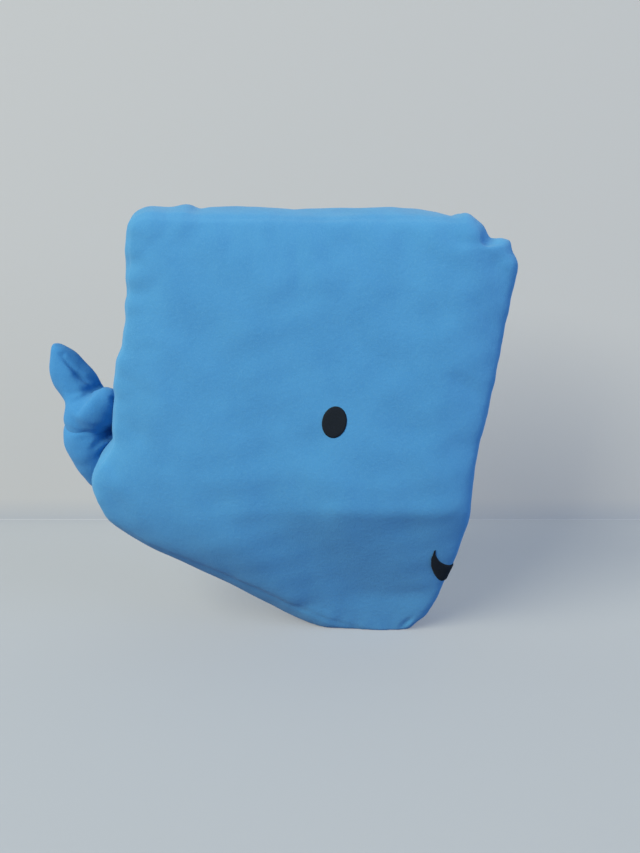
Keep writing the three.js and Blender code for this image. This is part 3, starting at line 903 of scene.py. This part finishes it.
def ramp(nodes, links, value, low, high):
    """0 up to the low value, 1 from the high value on, and even in between."""
    node = nodes.new("ShaderNodeMapRange")
    node.inputs["From Min"].default_value = low
    node.inputs["From Max"].default_value = high
    links.new(value, node.inputs["Value"])
    return node.outputs["Result"]


def bump(nodes, links, height, strength, distance):
    node = nodes.new("ShaderNodeBump")
    node.inputs["Strength"].default_value = strength
    node.inputs["Distance"].default_value = distance
    links.new(height, node.inputs["Height"])
    return node


def mixed_shader(nodes, links, factor, first, second):
    node = nodes.new("ShaderNodeMixShader")
    for socket, value in zip(node.inputs, (factor, first, second)):
        links.new(value, socket)
    return node.outputs[0]


def pile_material(name, colour, shade, light, sheen):
    """Short brushed pile: soft mottling, a fine nap and a pale sheen at grazing angles."""
    made, nodes, links = node_material(name)
    shader = nodes["Principled BSDF"]
    where = nodes.new("ShaderNodeTexCoord")
    mottling = noise(nodes, links, where, scale=38, detail=3)
    nap = noise(nodes, links, where, scale=900, detail=2, roughness=0.6)
    grain = noise(nodes, links, where, scale=260, detail=3, roughness=0.6)
    even = ramp(nodes, links, mottling, 0.3, 0.62)
    tips = ramp(nodes, links, nap, 0.45, 0.95)
    base = mixed(nodes, links, linear(shade), linear(colour), even)
    base = mixed(nodes, links, base, linear(light), tips)
    links.new(base, shader.inputs["Base Color"])
    shader.inputs["Roughness"].default_value = 0.95
    shader.inputs["Specular IOR Level"].default_value = 0.2
    shader.inputs["Sheen Weight"].default_value = sheen
    shader.inputs["Sheen Roughness"].default_value = 0.7
    shader.inputs["Sheen Tint"].default_value = linear((225, 240, 225))
    fine = bump(nodes, links, nap, strength=0.35, distance=0.0006)
    soft = bump(nodes, links, grain, strength=0.25, distance=0.0012)
    links.new(fine.outputs["Normal"], soft.inputs["Normal"])
    links.new(soft.outputs["Normal"], shader.inputs["Normal"])
    return made


cloth = pile_material("pile_cloth", (72, 148, 204), (67, 142, 199), (86, 158, 209), 0.15)
# The tail's cloth is a darker, bluer copy of the body's cloth: painted shade, for the tail lying
# further back and turned from the light
painted_shade_tail_cloth = pile_material("tail_pile_cloth_painted_shade", (63, 139, 202), (58, 133, 197), (76, 150, 208), 0.1)
felt = pile_material("patch_felt", (22, 29, 38), (18, 24, 32), (30, 38, 48), 0.02)
for obj, made in ((body, cloth), (stem, painted_shade_tail_cloth), (flukes, painted_shade_tail_cloth)):
    obj.data.materials.append(made)
for obj in (*eyes, mouth):
    obj.data.materials.append(felt)

# What each piece stands for and moves with
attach(body, "body")
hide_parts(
    "right_side_panel", "left_side_panel", "forehead_panel", "top_panel", "rump_panel",
    "belly_panel", "body_filling")
for obj, node in zip(eyes, ("right_eye", "left_eye")):
    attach(obj, "body")
    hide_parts(node)
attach(mouth, "body")
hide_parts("mouth")
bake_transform(stem)
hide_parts("tail_stem_right_panel", "tail_stem_left_panel", "tail_stem_filling")
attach(flukes, "flukes")
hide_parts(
    "upper_fluke_front_panel", "upper_fluke_back_panel", "upper_fluke_filling",
    "lower_fluke_front_panel", "lower_fluke_back_panel", "lower_fluke_filling")

# Floor and wall, in one sheet whose corner is bent over 1 mm. The floor lies just under the cloth.
STAGE_REACH = 3000
WALL_Y = 280
WALL_HEIGHT = 2600
UNDER_THE_CLOTH = 0.2
stage_profile = [(-STAGE_REACH, 0), (WALL_Y - 1, 0), (WALL_Y, 1), (WALL_Y, WALL_HEIGHT)]
stage_points = [
    (x, y, z - UNDER_THE_CLOTH) for y, z in stage_profile for x in (-STAGE_REACH, STAGE_REACH)]
backdrop = new_object("backdrop", stage_points, grid_faces(len(stage_profile), 2))
made, nodes, links = node_material("backdrop_paint")
shader = nodes["Principled BSDF"]
where = nodes.new("ShaderNodeTexCoord")
split = nodes.new("ShaderNodeSeparateXYZ")
links.new(where.outputs["Object"], split.inputs[0])
ray = nodes.new("ShaderNodeLightPath")
PALE_FLOOR, DIM_FLOOR = linear((185, 192, 199)), linear((88, 112, 148))
WALL_COLOUR = linear((199, 202, 203))
up_the_wall = ramp(nodes, links, split.outputs["Z"], 0.0, 0.03)
# Only the camera sees the floor's pale colour, so that less light comes up from it
pale = mixed(nodes, links, PALE_FLOOR, WALL_COLOUR, up_the_wall)
dim = mixed(nodes, links, DIM_FLOOR, WALL_COLOUR, up_the_wall)
links.new(mixed(nodes, links, dim, pale, ray.outputs["Is Camera Ray"]), shader.inputs["Base Color"])
shader.inputs["Roughness"].default_value = 1
shader.inputs["Specular IOR Level"].default_value = 0
# Part of the colour shows evenly, so that shadows stay pale
EVEN_SHARE = 0.38
even_share = nodes.new("ShaderNodeMath")
even_share.operation = "MULTIPLY"
even_share.inputs[1].default_value = EVEN_SHARE
links.new(ray.outputs["Is Camera Ray"], even_share.inputs[0])
glow = nodes.new("ShaderNodeEmission")
links.new(pale, glow.inputs["Color"])
lit = mixed_shader(nodes, links, even_share.outputs[0], shader.outputs[0], glow.outputs[0])
# From behind, the sheet is clear
clear = nodes.new("ShaderNodeBsdfTransparent")
facing = nodes.new("ShaderNodeNewGeometry")
paint = mixed_shader(nodes, links, facing.outputs["Backfacing"], lit, clear.outputs[0])
links.new(paint, nodes["Material Output"].inputs["Surface"])
backdrop.data.materials.append(made)

# Light
world = bpy.data.worlds.new("world")
world.use_nodes = True
nodes, links = world.node_tree.nodes, world.node_tree.links
soft_light = nodes["Background"]
soft_light.inputs["Color"].default_value = linear((162, 199, 255))
soft_light.inputs["Strength"].default_value = 0.28
# Past the edges of the backdrop the camera sees about the colour that the wall shows
pale_beyond = nodes.new("ShaderNodeBackground")
pale_beyond.inputs["Color"].default_value = linear((190, 194, 197))
ray = nodes.new("ShaderNodeLightPath")
seen = mixed_shader(
    nodes, links, ray.outputs["Is Camera Ray"], soft_light.outputs[0], pale_beyond.outputs[0])
links.new(seen, nodes["World Output"].inputs["Surface"])
scene.world = world


LIGHT_TARGET = Vector((0, 0, 0.2))


def area_light(name, place, size, power, colour):
    data = bpy.data.lights.new(name, "AREA")
    data.size = size
    data.energy = power
    data.color = linear(colour)[:3]
    light = bpy.data.objects.new(name, data)
    scene.collection.objects.link(light)
    light.location = place
    light.rotation_euler = (LIGHT_TARGET - Vector(place)).to_track_quat("-Z", "Y").to_euler()


area_light("key_light", (-5.1, -4.6, 4.8), size=5, power=890, colour=(255, 247, 221))
area_light("fill_light", (6.2, -2.6, 2.2), size=3.6, power=190, colour=(205, 225, 255))
scene.view_settings.view_transform = "Standard"
